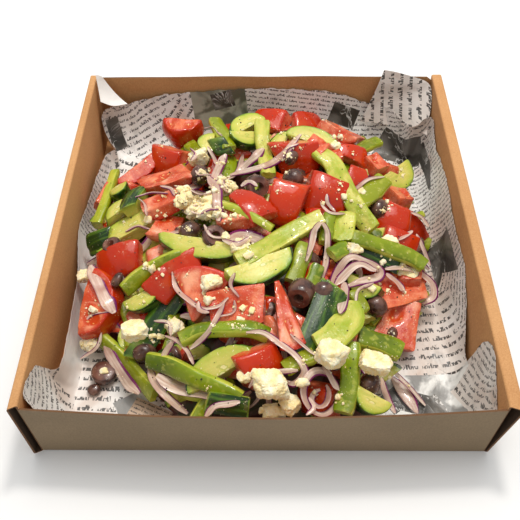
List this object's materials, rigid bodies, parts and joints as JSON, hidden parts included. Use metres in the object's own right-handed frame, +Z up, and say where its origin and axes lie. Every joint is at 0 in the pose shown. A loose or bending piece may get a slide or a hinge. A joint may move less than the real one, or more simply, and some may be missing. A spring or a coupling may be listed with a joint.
{
  "type": "greek salad in a paper-lined kraft tray",
  "caption": "Chopped salad of tomato, cucumber, green pepper, red onion, olives and feta, heaped in a square kraft board tray lined with printed greaseproof paper.",
  "frame": {"origin": "middle of the whole object's box, on the surface the tray stands on", "axes": "+X across the tray to its right, +Y from its front panel to its back panel, +Z up"},
  "size_m": [0.2262, 0.2358, 0.0599],
  "materials": {
    "kraft_board": "matt uncoated board",
    "printed_paper": "satin greaseproof, dark print",
    "mixed_salad": "wet with dressing",
    "tomato": "wet, glossy skin",
    "cucumber": "wet flesh, dark skin",
    "green_pepper": "wet, waxy skin",
    "red_onion": "wet, translucent, purple edges",
    "olive": "oily",
    "feta": "crumbly, moist",
    "pepper_grains": "dry grains"
  },
  "bodies": {
    "root": {"tray": "kraft_board", "paper_liner": "printed_paper", "salad_heap": "mixed_salad", "feta_front": "feta", "feta_front_small": "feta", "feta_middle": "feta", "feta_right": "feta", "feta_left": "feta", "olive_ring_loose": "olive", "olive_end_loose": "olive", "onion_slice_loose": "red_onion"}
  },
  "joints": []
}
